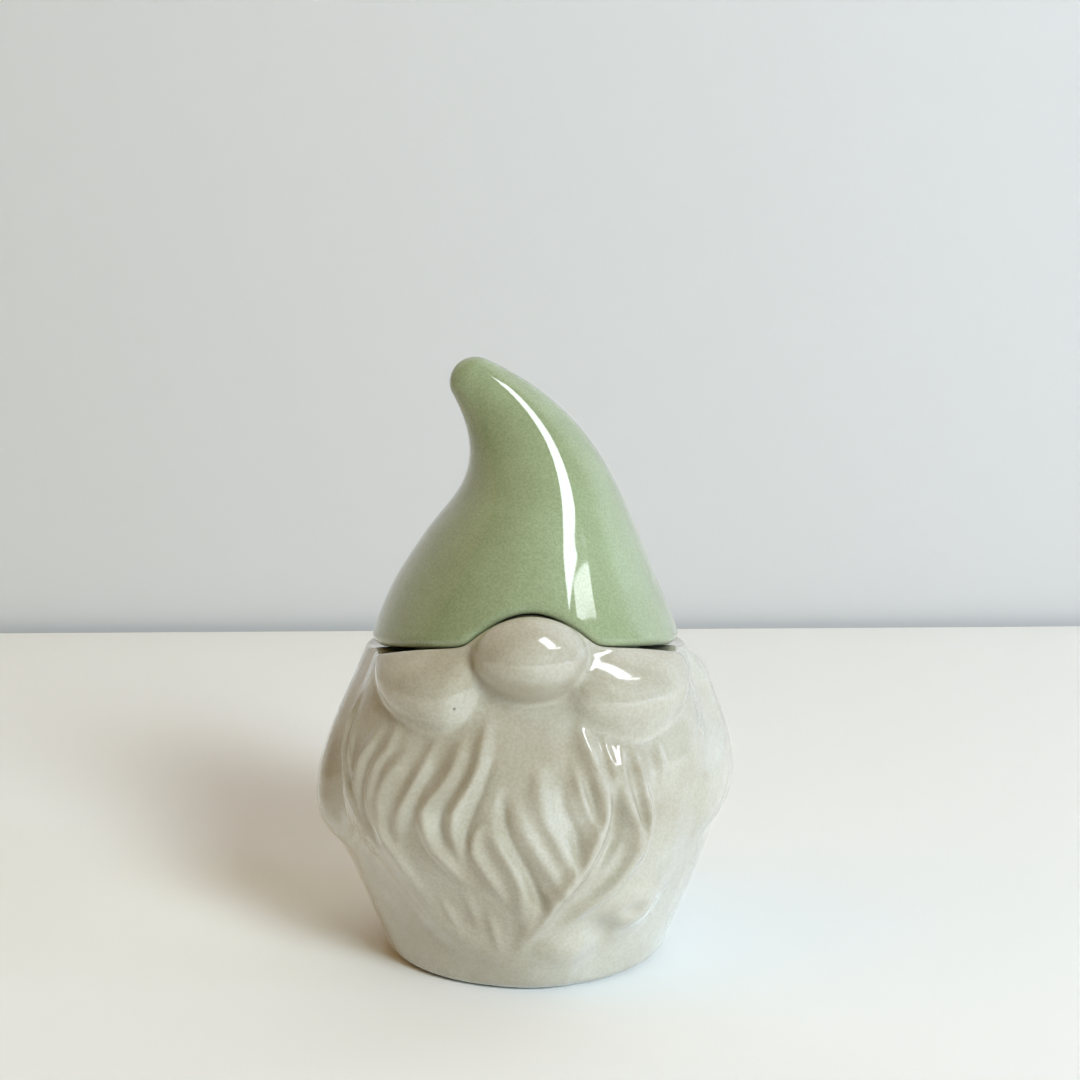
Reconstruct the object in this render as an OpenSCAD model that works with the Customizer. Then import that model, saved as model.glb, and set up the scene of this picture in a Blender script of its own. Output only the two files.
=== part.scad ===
// A cast tomte gnome that is a lidded jar: the bearded body is the jar and the pointed hat is its lid.
// Angles run round the figure from its face, positive towards its left arm, in degrees.
// The face looks along -Y, and the middle of the foot is the origin.

/* [Jar] */
// Height of the rim at the sides
rim_h = 61; // [52:0.5:70]
// Radius of the foot
foot_r = 27.5; // [26.5:0.1:30]
// Rounding of the foot edge
foot_round = 2; // [0.4:0.1:3]
// How much further the foot reaches in front
foot_front = 2.5; // [0:0.1:4]
// Radius of the coat where it is widest
coat_r = 38.4; // [36:0.1:42]
// Height at which the coat is widest
coat_h = 36; // [30:0.5:42]
// Radius of the shoulders at the rim
rim_r = 31; // [30:0.1:34]
// Radius of the face at the rim
face_r = 34.5; // [33:0.1:36]
// How far the rim climbs from the sides to the front
rim_climb = 5.4; // [2:0.1:8]
// Slope of the rim towards its front edge, in mm for each mm outwards
rim_slope = 0.08; // [0:0.01:0.25]
// Radius of the mouth and of the hollow below it
mouth_r = 24; // [20:0.1:25]
// Thickness of the floor
floor_t = 6; // [3:0.5:10]
// Rounding between the floor and the wall of the hollow
floor_round = 6; // [2:0.5:10]

/* [Face] */
// Width of the nose
nose_w = 20.6; // [18:0.2:25]
// Height of the nose
nose_h = 15.6; // [13:0.2:19]
// How far the tip of the nose stands out from the shoulders
nose_reach = 13; // [11:0.1:16]
// Height of the middle of the nose above the side rim
nose_up = 4; // [2:0.1:6]
// Height of the notch over the nose
notch_h = 5.8; // [4:0.1:7]
// Thickness of the moustache
moustache_t = 8.2; // [6.5:0.1:9]
// How far the moustache hangs below the side rim
moustache_drop = 12.5; // [9:0.1:14]
// Angle from the nose to the end of the moustache
moustache_end = 61; // [54:1:64]

/* [Beard and arms] */
// Thickness of the beard in front
beard_t = 3.8; // [2:0.1:5]
// Height of the locks over the beard
lock_t = 1.3; // [0.4:0.1:1.8]
// Thickness of the arms
arm_t = 4.1; // [2.5:0.1:5]
// Width of the sleeves
arm_w = 20; // [16:0.5:24]
// Height of the right cuff above the ground
right_cuff_h = 21.5; // [16:0.5:28]
// Height of the left cuff above the ground
left_cuff_h = 26.5; // [18:0.5:30]

/* [Hat] */
// Height of the hat, from the side rim to the top of the tip
hat_h = 57; // [48:0.5:66]
// How far the tip leans over to the right arm
tip_reach = 9.8; // [4:0.2:14]
// Radius of the tip
tip_r = 5; // [3.5:0.1:6]
// Lean of the tip
tip_lean = 44; // [20:1:55]
// How far the front of the hat swells out, at the height of the side rim
brim_swell = 9.6; // [6:0.1:11]
// Rounding of the brim
brim_round = 2.6; // [1:0.1:3.5]
// Least wall of the hat
hat_wall = 4.5; // [3:0.1:6]

/* [Fit] */
// Gap between the seated hat and the rim
seat_gap = 0.3; // [0.2:0.05:0.6]
// Gap round the collar that locates the hat in the mouth
collar_gap = 0.5; // [0.3:0.05:1]
// Wall of the collar
collar_t = 3.5; // [2:0.1:5]
// Depth of the collar below the side rim
collar_h = 5; // [3:0.5:10]

/* [Hidden] */
$fn = 96;

// Curves shared by both castings
function smooth(a, b, x) = let (t = min(1, max(0, (x - a) / (b - a)))) t * t * (3 - 2 * t);
function soft_pos(x, k) = (x + sqrt(x * x + k * k)) / 2;
function soft_max(a, b, k) = (a + b + sqrt((a - b) * (a - b) + k * k)) / 2;
function arc_length(angle, r) = angle * PI / 180 * r;
function polar(r, angle, z) = [r * sin(angle), -r * cos(angle), z];

// A smooth curve through points [x, y] that never overshoots them
function last_below(p, x) = max([for (i = [0:len(p) - 2]) if (i == 0 || x >= p[i][0]) i]);
function rise(p, i) = (p[i + 1][1] - p[i][1]) / (p[i + 1][0] - p[i][0]);
function slope_at(p, i) =
    i == 0 ? rise(p, 0)
    : i == len(p) - 1 ? rise(p, i - 1)
    : rise(p, i - 1) * rise(p, i) <= 0 ? 0
    : 2 * rise(p, i - 1) * rise(p, i) / (rise(p, i - 1) + rise(p, i));
function curve(p, x) =
    let (
        held = min(max(x, p[0][0]), p[len(p) - 1][0]),
        i = last_below(p, held),
        step = p[i + 1][0] - p[i][0],
        t = (held - p[i][0]) / step
    )
    p[i][1] * (1 + 2 * t) * (1 - t) * (1 - t)
    + slope_at(p, i) * step * t * (1 - t) * (1 - t)
    + p[i + 1][1] * t * t * (3 - 2 * t)
    + slope_at(p, i + 1) * step * t * t * (t - 1);

// The parting between jar and hat: level at the sides and back, climbing to the face,
// with a notch for the nose
notch_half = 20;
notch_power = 2;
notch_ease = 0.25;
function notch(angle) = soft_pos(1 - pow(abs(angle) / notch_half, notch_power), notch_ease);
function part_z(angle) = rim_h + rim_climb * pow(max(0, cos(angle)), 1.5) + notch_h * notch(angle);

// The rim of the jar slopes up to its front edge, and falls away a little at the ends of the moustache
rim_dip = 0.9;
function face_share(angle) = smooth(0.25, 0.75, cos(angle));
function dip(angle) =
    rim_dip
    * smooth(30, moustache_end, abs(angle))
    * (1 - smooth(moustache_end, moustache_end + 16, abs(angle)));
function jar_top(angle, r) = part_z(angle) - dip(angle) + rim_slope * (r - rim_r) * face_share(angle);

// Coat: swells from the foot to its widest, then draws in to the shoulders.
// The foot is longer in front, and the face stays further out at the rim than the shoulders.
front_h = 18;
cheek_in = 52;
cheek_out = 72;
function coat(angle, z) =
    let (
        low = min(1, max(0, z / coat_h)),
        up = min(1.05, max(0, (z - coat_h) / (rim_h - coat_h))),
        swell = 0.75 * sin(90 * low) + 0.25 * smooth(0, 1, low),
        front = foot_front * pow(max(0, cos(angle)), 2) * (1 - smooth(0, front_h, z)),
        top_r = face_r + (rim_r - face_r) * smooth(cheek_in, cheek_out, abs(angle))
    )
    foot_r + front + (coat_r - foot_r) * swell - (coat_r - top_r) * pow(up, 1.5) - foot_ease(z);
function foot_ease(z) =
    let (d = max(0, foot_round - max(0, z)))
    foot_round - sqrt(foot_round * foot_round - d * d);

// Arms: rounded sleeves from the shoulder to the cuff; the left one bends and comes forward.
// A point of an arm is [angle, height, share of the half width, share of the thickness].
right_arm = [[-88, rim_h - 5, 0.85, 0.1], [-85, right_cuff_h + arm_w / 2, 1, 1]];
left_arm = [
    [88, rim_h - 9, 0.85, 0.8],
    [88, rim_h - 20, 1.2, 0.86],
    [62, left_cuff_h + 0.45 * arm_w, 0.9, 0.74]
];
sleeve_full = 1.12;
sleeve_blend = 0.3;
function sleeve(from, to, angle, z) =
    let (
        run = [arc_length(to[0] - from[0], coat_r), to[1] - from[1]],
        at = [arc_length(angle - from[0], coat_r), z - from[1]],
        along = min(1, max(0, at * run / (run * run))),
        half = arm_w / 2 * (from[2] + (to[2] - from[2]) * along),
        thick = arm_t * (from[3] + (to[3] - from[3]) * along)
    )
    thick / (1 + pow(sleeve_full * norm(at - along * run) / half, 5));
function arm(angle, z) =
    let (
        right = soft_max(0, sleeve(right_arm[0], right_arm[1], angle, z), sleeve_blend),
        upper = soft_max(right, sleeve(left_arm[0], left_arm[1], angle, z), sleeve_blend)
    )
    soft_max(upper, sleeve(left_arm[1], left_arm[2], angle, z), sleeve_blend);

// Beard: its lower edge as [angle, percent of the rim's height]
beard_edge = [
    [-78, 49], [-58, 47.5], [-47, 43], [-40, 36], [-34, 27], [-28, 19], [-19, 13], [-6, 8], [3, 6.5],
    [12, 7], [18, 12], [24, 18], [32, 19], [40, 21], [48, 26], [58, 32], [78, 38]
];
// How far round the beard reaches on the left, as [percent of the rim's height, angle].
// The right side is even.
beard_left = [[20, 48], [40, 50], [56, 52], [72, 61], [90, 66]];
beard_right = 65;
right_fade = 4;
left_fade = 14;
// The edge is soft on the right and crisp on the left: where it begins and is full,
// in percent from the line.
soft_edge = [-8, 10];
crisp_edge = [-6, 9];
function percent(z) = 100 * z / rim_h;
function beard_share(angle, z) =
    let (
        side = angle < 0 ? beard_right : curve(beard_left, percent(z)),
        fade = angle < 0 ? right_fade : left_fade,
        edge = soft_edge + (crisp_edge - soft_edge) * smooth(-5, 15, angle),
        inside = percent(z) - curve(beard_edge, angle)
    )
    (1 - smooth(side - fade, side + fade, abs(angle)))
    * smooth(edge[0], edge[1], inside)
    * (0.65 + 0.35 * smooth(0, 35, inside));
function beard(angle, z) =
    beard_t * (0.48 + 0.52 * max(0, cos(angle))) * (1 - 0.85 * smooth(72, 101, percent(z)));

// Locks of the beard: [height, half width, points of the lock as [percent of the rim's height, angle]]
// A height below zero is a furrow.
locks = [
    [1.1, 3, [[12, -14], [17, -22], [22, -29], [28, -34], [35, -39], [42, -44], [49, -50], [56, -55]]],
    [1.2, 1.5, [[52, -53], [58, -56], [64, -58], [72, -60], [81, -62], [92, -63]]],
    [0.8, 1, [[64, -54], [70, -56], [78, -57], [86, -57]]],
    [1.1, 1.3, [[56, -51], [64, -52], [71, -51], [77, -48], [85, -44]]],
    [1, 1.3, [[50, -43], [59, -47], [66, -46], [72, -44], [79, -40], [86, -39]]],
    [1, 2, [[36, -34], [43, -38], [51, -42], [60, -43], [66, -41], [72, -38], [79, -33]]],
    [1.1, 1.3, [[52, -33], [59, -34], [66, -32.5], [74, -29], [83, -26]]],
    [1.7, 1.7, [[41, -21], [46, -24], [51, -27], [58, -28.5], [63, -28], [68, -25.5], [76, -22], [84, -20]]],
    [1.8, 1.7, [[47, -18.5], [54, -20], [61, -20], [67, -18], [73, -16], [79, -14], [88, -13.5]]],
    [0.9, 1.1, [[35, -7], [41, -11], [46, -13], [52, -15]]],
    [1.2, 2.2, [[24, -2], [34, -3], [41, -5], [46, -8], [52, -11], [58, -12], [66, -12]]],
    [1.1, 1.9, [[37, 6], [43, 2], [50, -1], [57, -4], [63, -6]]],
    [1.2, 2, [[42, 11], [47, 9], [54, 7], [60, 5], [67, 4], [76, 3]]],
    [1, 1.3, [[59, 16], [65, 13], [70, 11.5], [78, 11]]],
    [1.7, 2, [[19, -2], [26, 2], [33, 6], [39, 10], [44, 13], [49, 16], [55, 18], [62, 19], [68, 18],
        [74, 16], [80, 14.5], [88, 13]]],
    [1.5, 2, [[28, 13], [34, 19], [39, 23], [43, 27], [49, 30], [55, 29.5], [60, 27], [66, 25], [73, 24.5],
        [82, 24]]],
    [1.2, 1.1, [[58, 22], [66, 21.5], [74, 21], [83, 20.5]]],
    [1.1, 1.3, [[46, 30], [54, 33], [63, 33.5], [70, 32], [80, 29]]],
    [0.9, 1.2, [[70, 36], [80, 35.5]]],
    [0.7, 1.3, [[24, -23], [33, -26]]],
    [0.7, 1.3, [[26, -16], [36, -18]]],
    [0.7, 1.3, [[18, -10], [29, -12]]],
    [-1.3, 1.1, [[24, 0], [32, 3], [37, 1], [45, -2], [52, -5], [60, -7], [69, -7]]],
    [-1, 1.6, [[45, 18], [52, 22], [62, 23]]],
    [-0.9, 1.1, [[44, 14], [52, 12], [63, 8.5], [72, 7.5]]],
    [-0.9, 0.9, [[60, 17], [66, 15.5], [78, 12.5]]],
    [-0.9, 1, [[58, 30], [70, 28]]],
    [-0.9, 1, [[47, -22], [54, -23.5], [64, -23]]],
    [-0.7, 1.1, [[55, -17], [67, -15], [80, -11.5]]],
    [-0.6, 1.2, [[51, -33], [62, -31]]],
    [-1.2, 1.3, [[49, -64], [56, -66], [66, -67], [78, -66]]]
];
// What one row of the surface needs of every lock: its height there, its angle and its width along the row
function locks_at(z) = [
    for (k = locks)
    let (
        p = percent(z),
        points = k[2],
        low = points[0][0],
        high = points[len(points) - 1][0],
        lean = arc_length(curve(points, p + 1) - curve(points, p - 1), coat_r) / (2 * rim_h / 100),
        ends = smooth(low - 2, low + 9, p) * (1 - smooth(high - 9, high + 2, p))
    )
    if (ends > 0)
        [lock_t * k[0] * ends, curve(points, p), k[1] * (0.6 + 0.4 * ends) * sqrt(1 + lean * lean)]
];
function lock_height(row, angle) =
    len(row) == 0 ? 0
    : [for (k = row) k[0] * exp(-pow(arc_length(angle - k[1], coat_r) / k[2], 2))] * [for (k = row) 1];

// Curls at the end of the beard: [angle, percent of the rim's height, radius, height, depth of the dimple]
curls = [[29, 27, 3.8, 2.4, 2], [12, 16, 3.6, 1.2, 0], [21, 22, 2.4, -1.3, 0]];
curl_ease = 0.6;
function curl_height(angle, z) =
    [for (c = curls)
        let (off = norm([arc_length(angle - c[0], foot_r), z - c[1] * rim_h / 100]) / c[2])
        c[3] * soft_pos(1 - off * off, curl_ease) - c[4] * exp(-pow(off / 0.4, 2))
    ] * [for (c = curls) 1];

// Moustache: a plump drop on each side, straight at the rim, that falls back in a round above its crest.
// Each lobe: angles of its middle, inner and outer end, height of its bottom,
// and the angles between which its edge gets crisp.
face_back = face_r + 1;
right_lobe = [24, 11, moustache_end - 4, rim_h - moustache_drop + 2, 10, 28];
left_lobe = [28, 6, moustache_end, rim_h - moustache_drop, 4, 15];
lobe_top = rim_h + 4;
lobe_crest = rim_h - 9;
lobe_round = 14.5;
lobe_soft = 1.2;
lobe_crisp = 0.5;
lobe_blend = 1.9;
function lobe_fall(above) =
    let (turned = min(above, 0.9 * lobe_round))
    lobe_round - sqrt(lobe_round * lobe_round - turned * turned) + 2 * (above - turned);
function moustache_r(angle, z) =
    let (
        a = abs(angle),
        lobe = angle < 0 ? right_lobe : left_lobe,
        reach = a < lobe[0] ? lobe[0] - lobe[1] : lobe[2] - lobe[0],
        across = abs(a - lobe[0]) / reach,
        down = max(0, lobe_top - z) / (lobe_top - lobe[3]),
        off = pow(pow(across, 1.8) + pow(down, 1.8), 1 / 1.8),
        power = lobe_soft + (lobe_crisp - lobe_soft) * smooth(lobe[4], lobe[5], a),
        cap = off < 1 ? pow(1 - pow(off, 2.4), power) : 4 * (1 - off)
    )
    face_back + moustache_t * cap - lobe_fall(max(0, z - lobe_crest));

// Nose: a dome that stands on the face and runs out softly
nose_soft = 0.75;
nose_blend = 1.8;
function nose_r(angle, z) =
    let (
        off = pow(2 * face_back * sin(angle) / nose_w, 2) + pow(2 * (z - rim_h - nose_up) / nose_h, 2),
        dome = off < 1 ? pow(1 - off, nose_soft) : 1 - off
    )
    cos(angle) > 0 ? face_back + (rim_r + nose_reach - face_back) * dome : 0;

// The body: coat with arms and beard, then moustache and nose run into it
arm_blend = 1.2;
arm_sink = 0.35;
function jar_r(angle, z, row) =
    let (
        hair = beard_share(angle, z) * beard(angle, z) + lock_height(row, angle),
        raised = soft_max(arm(angle, z), hair, arm_blend) - arm_sink,
        plain = coat(angle, z) + raised + curl_height(angle, z)
    )
    soft_max(soft_max(plain, moustache_r(angle, z), lobe_blend), nose_r(angle, z), nose_blend);

// Columns of the surface are close together on the face and wide apart round the back
face_end = 75;
face_step = 1.5;
back_columns = 26;
function signed(angle) = angle > 180 ? angle - 360 : angle;
columns = concat(
    [for (a = [-face_end:face_step:face_end]) a],
    [for (i = [1:back_columns - 1]) signed(face_end + i * (360 - 2 * face_end) / back_columns)]
);

// Rows are level up to the moustache, and above it they spread to follow the rim
level_rows = 26;
rim_rows = 11;
level_h = rim_h - moustache_drop;
foot_rows = [-1, 0, 0.25 * foot_round, foot_round];
function row_z(angle, side_z, top) =
    side_z <= level_h ? side_z : level_h + (side_z - level_h) * (top - level_h) / (rim_h - level_h);
side_rows = concat(
    foot_rows,
    [for (i = [1:level_rows]) foot_round + (level_h - foot_round) * i / level_rows],
    [for (i = [1:rim_rows]) level_h + (rim_h - level_h) * i / rim_rows]
);
// The height at which the wall meets the rim, found by halving
halvings = 12;
function edge_top(angle, low, high, left) =
    let (z = (low + high) / 2)
    left == 0 ? z
    : jar_top(angle, jar_r(angle, z, [])) > z ? edge_top(angle, z, high, left - 1)
    : edge_top(angle, low, z, left - 1);

// Faces that join rings of points, with a point at each end
// The two halves of the face are split the opposite way, so that they mirror each other
function ring_faces(rings, n, middle) = [
    for (j = [0:rings - 2], i = [0:n - 1])
    let (a = j * n + i, b = j * n + (i + 1) % n)
    each i < middle ? [[a, a + n, b], [b, a + n, b + n]] : [[a, a + n, b + n], [a, b + n, b]]
];
function end_faces(rings, n) = concat(
    [for (i = [0:n - 1]) [rings * n, i, (i + 1) % n]],
    [for (i = [0:n - 1]) [rings * n + 1, (rings - 1) * n + (i + 1) % n, (rings - 1) * n + i]]
);
module skin(rings, middle, bottom, top) {
    n = len(rings[0]);
    points = concat([for (ring = rings) each ring], [bottom, top]);
    polyhedron(points, concat(ring_faces(len(rings), n, middle), end_faces(len(rings), n)), convexity = 8);
}

// How far the ledge runs into the mouth before the hollow is cut
mouth_lap = 1;

module jar_outside() {
    angles = columns;
    tops = [for (a = angles) edge_top(a, part_z(a) - 2 * rim_dip, part_z(a) + nose_h / 2, halvings)];
    wall = [
        for (side_z = side_rows)
        let (row = locks_at(side_z))
        [for (i = [0:len(angles) - 1])
            let (z = row_z(angles[i], side_z, tops[i]))
            polar(jar_r(angles[i], z, row), angles[i], z)]
    ];
    // The ledge under the hat is level, and slopes up to the edge outside it
    ledge = [for (a = angles) polar(seat_r(a), a, part_z(a) - dip(a))];
    mouth = [for (a = angles) polar(mouth_r - mouth_lap, a, part_z(a) - dip(a))];
    skin(concat(wall, [ledge, mouth]), face_end / face_step, [0, 0, foot_rows[0]], [0, 0, rim_h]);
}

module hollow() {
    rotate_extrude() {
        translate([0, floor_t])
            square([mouth_r - floor_round, floor_round]);
        translate([0, floor_t + floor_round])
            square([mouth_r, 2 * rim_h]);
        intersection() {
            translate([mouth_r - floor_round, floor_t + floor_round])
                circle(floor_round);
            square([mouth_r, floor_t + floor_round]);
        }
    }
}

module gnome_jar() {
    color("#cfccbe")
    difference() {
        jar_outside();
        hollow();
        // The foot is trimmed flat
        translate([-coat_r, -coat_r, -rim_h])
            cube([2 * coat_r, 2 * coat_r, rim_h]);
    }
}

// Hat: round sections on a centre line that sways to the left arm and then leans over to the tip.
// A share runs from 0 at the side rim to 1 at the neck, where the round tip begins.
tip_taper = 21;
tip_z = rim_h + hat_h - tip_r;
neck_x = -tip_reach - tip_r * sin(tip_taper) * sin(tip_lean);
neck_z = tip_z + tip_r * sin(tip_taper) * cos(tip_lean);
neck_r = tip_r * cos(tip_taper);
brim_r = rim_r;
hat_sway = 1.4;
sway_start = 0.2;
sway_full = 0.5;
flank_swell = 1.45;
bend = 0.4;
curl = 2.7;
function hat_level(share) = rim_h + share * (neck_z - rim_h);
function hat_share(z) = (z - rim_h) / (neck_z - rim_h);
function hat_x(share) =
    hat_sway * smooth(sway_start, sway_full, share) * (1 - smooth(sway_full, 1, share))
    + neck_x * pow(max(0, 2 * share - 1), curl);
function hat_lean(share) = tip_lean * smooth(bend, 1.05, share);
function hat_r(share) =
    neck_r + (brim_r - neck_r) * (1 - share) + 9.5 * flank_swell * max(0, share) * pow(1 - share, 3);
function front_swell(angle, share) = brim_swell * pow(max(0, cos(angle)), 2.4) * (1 - share);

// A point of the hat: its section turns with the lean of the centre line
function hat_point(angle, share, r) = [
    hat_x(share) + r * sin(angle) * cos(hat_lean(share)),
    -r * cos(angle),
    hat_level(share) + r * sin(angle) * sin(hat_lean(share))
];
function flank_r(angle, share) = hat_r(share) + front_swell(angle, share);
function flank_point(angle, z, inset) =
    let (share = hat_share(z))
    hat_point(angle, share, flank_r(angle, share) - inset);
function brim_z(angle) = part_z(angle) + seat_gap;
// Where the flat underside of the brim ends and its rounding begins
function seat_r(angle) = flank_r(angle, hat_share(brim_z(angle))) - brim_round;
function tip_point(angle, turn) =
    let (
        lean = hat_lean(1),
        along = tip_r * (sin(turn) - sin(tip_taper)),
        r = tip_r * cos(turn)
    )
    [
        neck_x - along * sin(lean) + r * sin(angle) * cos(lean),
        -r * cos(angle),
        neck_z + along * cos(lean) + r * sin(angle) * sin(lean)
    ];

brim_turns = [0, 30, 60];
flank_rows = 9;
horn_rows = 8;
tip_turns = [34, 48, 62, 76];
collar_r = mouth_r - collar_gap;
collar_in = collar_r - collar_t;
collar_top = part_z(0) + seat_gap + 0.5;

module hat_outside() {
    angles = columns;
    underside = [for (a = angles) polar(mouth_r - mouth_lap, a, brim_z(a))];
    brim = [
        for (turn = brim_turns)
        let (up = brim_round * (1 - cos(turn)), inset = brim_round * (1 - sin(turn)))
        [for (a = angles) flank_point(a, brim_z(a) + up, inset)]
    ];
    flank = [
        for (i = [0:flank_rows])
        [for (a = angles)
            let (low = brim_z(a) + brim_round)
            flank_point(a, low + (hat_level(bend) - low) * i / flank_rows, 0)]
    ];
    horn = [
        for (i = [1:horn_rows])
        let (share = bend + (1 - bend) * i / horn_rows)
        [for (a = angles) hat_point(a, share, flank_r(a, share))]
    ];
    tip = [for (turn = tip_turns) [for (a = angles) tip_point(a, turn)]];
    rings = concat([underside], brim, flank, horn, tip);
    skin(rings, face_end / face_step, [0, 0, rim_h + seat_gap], tip_point(0, 90));
}

module collar() {
    translate([0, 0, rim_h - collar_h])
        cylinder(r = collar_r, h = collar_top - rim_h + collar_h);
}

// The hat is hollow, from the open end of the collar to a round crown
module hat_hollow() {
    crown_share = 0.5;
    cone_share = 0.2;
    crown_r = hat_r(crown_share) - hat_wall - hat_sway;
    cone_r = min(collar_in, hat_r(cone_share) - hat_wall - hat_sway);
    open_z = rim_h - 2 * collar_h;
    rotate_extrude() {
        polygon([
            [0, open_z],
            [collar_in, open_z],
            [collar_in, rim_h],
            [cone_r, hat_level(cone_share)],
            [crown_r, hat_level(crown_share)],
            [0, hat_level(crown_share)]
        ]);
        intersection() {
            translate([0, hat_level(crown_share)])
                circle(crown_r);
            translate([0, rim_h])
                square([brim_r, hat_h]);
        }
    }
}

module hat_lid() {
    color("#9db085")
    difference() {
        union() {
            hat_outside();
            collar();
        }
        hat_hollow();
    }
}

gnome_jar();
hat_lid();
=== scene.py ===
import math
import bpy
import numpy as np
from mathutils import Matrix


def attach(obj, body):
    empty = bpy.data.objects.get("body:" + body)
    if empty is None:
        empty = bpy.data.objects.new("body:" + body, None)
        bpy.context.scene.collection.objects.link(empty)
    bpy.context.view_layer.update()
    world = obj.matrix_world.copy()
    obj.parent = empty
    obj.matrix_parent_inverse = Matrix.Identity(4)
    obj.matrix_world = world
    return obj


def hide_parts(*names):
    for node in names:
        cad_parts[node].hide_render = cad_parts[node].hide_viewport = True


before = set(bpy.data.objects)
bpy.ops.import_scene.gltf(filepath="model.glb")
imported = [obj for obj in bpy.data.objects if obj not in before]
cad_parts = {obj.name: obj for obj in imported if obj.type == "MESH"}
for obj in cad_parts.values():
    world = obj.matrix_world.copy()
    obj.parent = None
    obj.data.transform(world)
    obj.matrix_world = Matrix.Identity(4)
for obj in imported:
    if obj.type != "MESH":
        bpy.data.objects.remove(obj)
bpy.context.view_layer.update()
print("frame loaded:", sorted(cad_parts))

# Shapes are worked out in millimetres and degrees and put into the meshes in metres.
# Angles run round the figure from its face, positive towards its left arm; the face looks along -Y.
mm = 0.001


# Curves that both castings use

def smooth(a, b, x):  # 0 before a, 1 after b, an S between
    t = np.clip((x - a) / (b - a), 0, 1)
    return t * t * (3 - 2 * t)


def softPos(x, k):  # x where positive, 0 where negative, rounded by k at the corner
    return (x + np.sqrt(x * x + k * k)) / 2


def softMax(a, b, k):  # the larger of two, with a fillet of about k where they cross
    return (a + b + np.sqrt((a - b) ** 2 + k * k)) / 2


def cosd(a):
    return np.cos(np.radians(a))


def sind(a):
    return np.sin(np.radians(a))


def curve(points, x):  # cubic through the points with harmonic mean slopes, so it never overshoots
    px, py = np.array(points, float).T
    rise = np.diff(py) / np.diff(px)
    both = rise[:-1] * rise[1:]
    inner = np.where(both > 0, 2 * both / np.where(both > 0, rise[:-1] + rise[1:], 1), 0)
    slope = np.concatenate([rise[:1], inner, rise[-1:]])
    x = np.clip(x, px[0], px[-1])
    i = np.clip(np.searchsorted(px, x, "right") - 1, 0, len(px) - 2)
    step = px[i + 1] - px[i]
    t = (x - px[i]) / step
    ends = py[i] * (1 + 2 * t) * (1 - t) ** 2 + py[i + 1] * t * t * (3 - 2 * t)
    return ends + step * t * (1 - t) * (slope[i] * (1 - t) - slope[i + 1] * t)


def arcLength(angle, r):  # how far an angle reaches along a ring
    return np.radians(angle) * r


def polar(r, angle, z):  # a ring point from radius, angle and height
    r, angle, z = np.broadcast_arrays(r, angle, z)
    return np.stack([r * sind(angle), -r * cosd(angle), z], -1)


def between(a, b, count):  # even steps from just after a to b, one row each, for whole rings at a time
    t = np.linspace(0, 1, count + 1)[1:]
    return a + (b - a) * t[:, None]


# Columns of both meshes: close together on the face, wider round the back
columns = {"faceEnd": 84, "face": 330, "back": 110}
faceAngles = np.linspace(-columns["faceEnd"], columns["faceEnd"], columns["face"], endpoint=False)
backAngles = np.linspace(columns["faceEnd"], 360 - columns["faceEnd"], columns["back"], endpoint=False)
angles = np.concatenate([faceAngles, backAngles])
angles = np.where(angles > 180, angles - 360, angles)


def closedSkin(name, rings, first, last):  # rings of points joined by quads, with a point closing each end
    n, m, _ = rings.shape
    verts = np.vstack([rings.reshape(-1, 3), [first], [last]]) * mm
    i = np.arange(m)
    nextI = (i + 1) % m
    rows = np.arange(n - 1)[:, None] * m
    quads = np.stack([rows + i, rows + nextI, rows + m + nextI, rows + m + i], -1).reshape(-1, 4)
    startFan = np.stack([np.full(m, n * m), nextI, i], -1)
    endFan = np.stack([np.full(m, n * m + 1), (n - 1) * m + i, (n - 1) * m + nextI], -1)
    mesh = bpy.data.meshes.new(name)
    mesh.from_pydata(verts.tolist(), [], quads.tolist() + startFan.tolist() + endFan.tolist())
    mesh.shade_smooth()
    piece = bpy.data.objects.new(name, mesh)
    bpy.context.scene.collection.objects.link(piece)
    print(name, "triangles:", 2 * len(quads) + 2 * m)
    return piece


# The parting between jar and hat: level at the sides and back, climbing to the face, notched for the nose
parting = {
    "rimH": 61, "rimR": 31, "climb": 5.4, "climbPower": 1.5,
    "notchH": 5.8, "notchHalf": 20, "notchEase": 0.25,
    "dip": 0.9, "dipStart": 30, "dipEnd": 61, "dipFade": 16,
    "slope": 0.08, "slopeFrom": 0.25, "slopeFull": 0.75, "mouthR": 24, "seatGap": 0.3,
}
rimH = parting["rimH"]
rimR = parting["rimR"]


def partZ(angle):  # a level, plus a power of the cosine on the face, plus a rounded parabola over the nose
    notch = softPos(1 - (angle / parting["notchHalf"]) ** 2, parting["notchEase"])
    climb = np.maximum(0, cosd(angle)) ** parting["climbPower"]
    return rimH + parting["climb"] * climb + parting["notchH"] * notch


def ledgeZ(angle):  # the seat of the hat, a little lower at the ends of the moustache
    end = parting["dipEnd"]
    a = np.abs(angle)
    dip = smooth(parting["dipStart"], end, a) * (1 - smooth(end, end + parting["dipFade"], a))
    return partZ(angle) - parting["dip"] * dip


def rimTop(angle, r):  # the rim slopes up from the seat to its front edge
    front = smooth(parting["slopeFrom"], parting["slopeFull"], cosd(angle))
    return ledgeZ(angle) + parting["slope"] * (r - rimR) * front


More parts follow.
